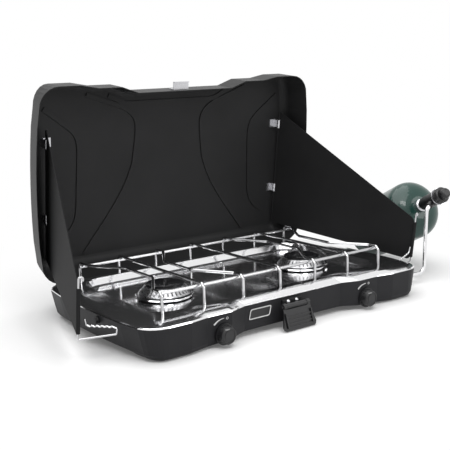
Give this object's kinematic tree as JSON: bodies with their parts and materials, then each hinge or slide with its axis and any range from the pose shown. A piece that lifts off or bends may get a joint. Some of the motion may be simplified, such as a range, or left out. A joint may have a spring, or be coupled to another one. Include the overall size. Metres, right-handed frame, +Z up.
{
  "type": "camping stove",
  "caption": "Folding gas camp stove set up for cooking: lid raised behind wire grate and ring burners, wind screens out, gas cylinder on a pipe at the right",
  "frame": {"origin": "centre of the base footprint, on the table that the feet stand on", "axes": "+X to the right seen from the front, where the gas cylinder hangs; +Y to the back, towards the lid; +Z up"},
  "size_m": [0.7945, 0.3756, 0.3641],
  "materials": {
    "pan_coat": "satin charcoal coat on pressed steel",
    "lid_coat": "satin black coat on pressed steel",
    "cooktop_steel": "bright reflective sheet",
    "chrome": "bright plated wire and tube",
    "zinc": "bright plated steel",
    "burner_metal": "satin cast metal",
    "cap_enamel": "black enamel",
    "brass": "plain",
    "plastic": "fine satin black",
    "rubber": "matt black",
    "tank_paint": "glossy dark green enamel"
  },
  "bodies": {
    "base": {"base_pan": "pan_coat", "feet": "rubber", "cooktop": "cooktop_steel", "manifold": "zinc", "valve_left": "brass", "valve_right": "brass", "burner_tube_left": "zinc", "burner_tube_right": "zinc", "burner_bowl_left": "chrome", "burner_bowl_right": "chrome", "burner_head_left": "burner_metal", "burner_head_right": "burner_metal", "burner_cap_left": "cap_enamel", "burner_cap_right": "cap_enamel", "inlet_fitting": "brass", "latch_bracket": "plastic", "latch_rivets": "zinc", "base_hinge_leaves": "pan_coat", "hinge_pins": "zinc", "bail_hooks": "pan_coat"},
    "latch": {"latch_lever": "plastic", "latch_pin": "zinc"},
    "knob_left": {"knob_left": "plastic"},
    "knob_right": {"knob_right": "plastic"},
    "grate": {"grate_grid": "chrome", "grate_legs": "chrome"},
    "lid": {"lid_shell": "lid_coat", "lid_ribs": "lid_coat", "lid_hinge_leaves": "lid_coat", "lid_catch": "zinc", "clips_left": "zinc", "clips_right": "zinc"},
    "screen_left": {"screen_left": "lid_coat"},
    "screen_right": {"screen_right": "lid_coat"},
    "bail_left": {"bail_left": "chrome"},
    "bail_right": {"bail_right": "chrome"},
    "gas": {"gas_pipe": "chrome", "pipe_nut": "zinc", "regulator_body": "plastic", "regulator_cap": "plastic", "regulator_ring": "zinc", "regulator_sleeve": "plastic"},
    "tank": {"tank_shell": "tank_paint", "tank_neck": "zinc", "tank_foot": "tank_paint"}
  },
  "joints": [
    {"name": "lid_hinge", "type": "hinge", "parent": "base", "child": "lid", "pos_m": [0, 0.1635, 0.0415], "axis": [-1, 0, 0], "range_deg": [0, 18]},
    {"name": "screen_left_hinge", "type": "hinge", "parent": "lid", "child": "screen_left", "pos_m": [-0.236, 0.2045, 0.0785], "axis": [0, -0.1478, 0.989], "range_deg": [-1.8, 0.7]},
    {"name": "screen_right_hinge", "type": "hinge", "parent": "lid", "child": "screen_right", "pos_m": [0.236, 0.2045, 0.0785], "axis": [0, -0.1478, 0.989], "range_deg": [-0.7, 1.8]},
    {"name": "bail_left_swing", "type": "hinge", "parent": "screen_left", "child": "bail_left", "pos_m": [-0.32317, -0.07749, 0.03636], "axis": [0, 0.1478, -0.989], "range_deg": [0, 150]},
    {"name": "bail_right_swing", "type": "hinge", "parent": "screen_right", "child": "bail_right", "pos_m": [0.32317, -0.07749, 0.03636], "axis": [0, -0.1478, 0.989], "range_deg": [0, 50]},
    {"name": "latch_flip", "type": "hinge", "parent": "base", "child": "latch", "pos_m": [-0.007, -0.15193, 0.03544], "axis": [-1, 0, 0], "range_deg": [0, 140]},
    {"name": "knob_left_turn", "type": "hinge", "parent": "base", "child": "knob_left", "pos_m": [-0.138, -0.16, 0.0185], "axis": [0, -1, 0], "range_deg": [0, 250]},
    {"name": "knob_right_turn", "type": "hinge", "parent": "base", "child": "knob_right", "pos_m": [0.138, -0.16, 0.0185], "axis": [0, -1, 0], "range_deg": [0, 250]},
    {"name": "grate_lift", "type": "slide", "parent": "base", "child": "grate", "axis": [0, 0, 1], "range_m": [0, 0.06]},
    {"name": "regulator_swivel", "type": "hinge", "parent": "base", "child": "gas", "pos_m": [0.28, -0.099, 0.0155], "axis": [1, 0, 0], "range_deg": [0, 12]},
    {"name": "cylinder_turn", "type": "hinge", "parent": "gas", "child": "tank", "pos_m": [0.367, -0.0925, 0.14135], "axis": [0.221, 0.8864, -0.4067], "range_deg": [0, 360]}
  ]
}
